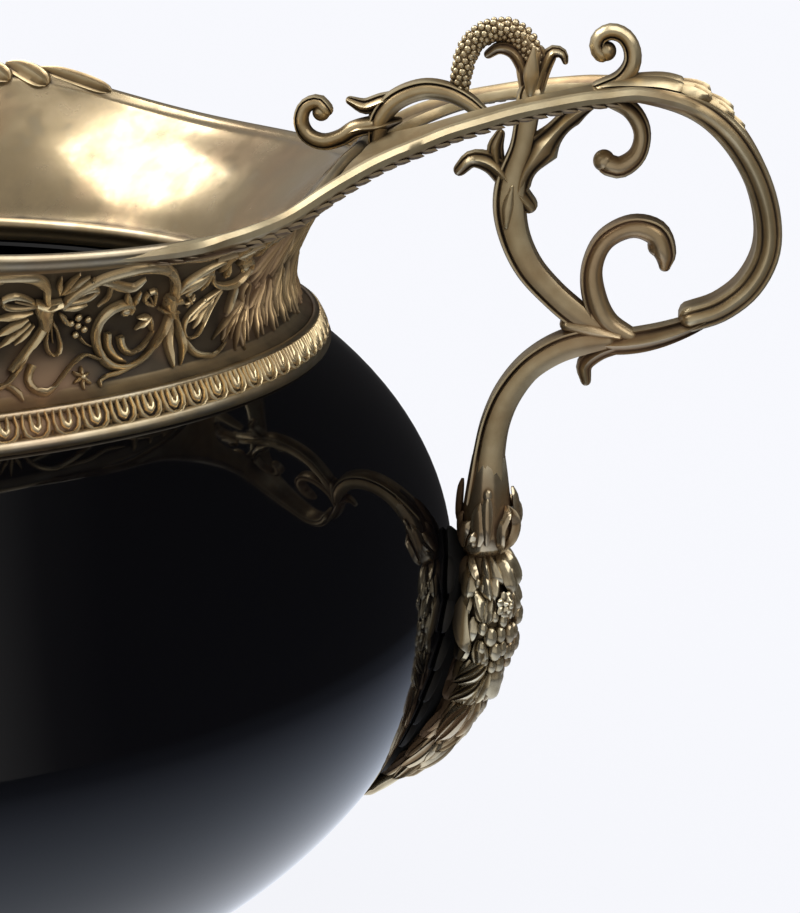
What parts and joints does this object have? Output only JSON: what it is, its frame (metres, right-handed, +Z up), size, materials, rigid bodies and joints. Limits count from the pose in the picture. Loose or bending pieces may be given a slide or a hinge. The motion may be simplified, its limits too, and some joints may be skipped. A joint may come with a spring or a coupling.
{
  "type": "mounted centrepiece bowl",
  "caption": "Round black porcelain bowl with a flared bronze collar, openwork scroll handles with foliage drops and a bronze foot ring.",
  "frame": {"origin": "middle of the underside of the foot ring, where the bowl stands", "axes": "+Z up, +X towards the right handle, -Y towards the front"},
  "size_m": [0.4992, 0.3312, 0.2687],
  "materials": {
    "porcelain_bowl": "mirror gloss",
    "rim_collar": "antique satin",
    "foot_ring": "antique satin",
    "handle_right": "antique satin",
    "handle_left": "antique satin",
    "sprig_right": "antique satin",
    "sprig_left": "antique satin",
    "drop_right": "antique satin",
    "drop_left": "antique satin"
  },
  "bodies": {
    "root": {"porcelain_bowl": "porcelain_bowl", "rim_collar": "rim_collar", "foot_ring": "foot_ring", "handle_right": "handle_right", "handle_left": "handle_left", "sprig_right": "sprig_right", "sprig_left": "sprig_left", "drop_right": "drop_right", "drop_left": "drop_left"}
  },
  "joints": []
}
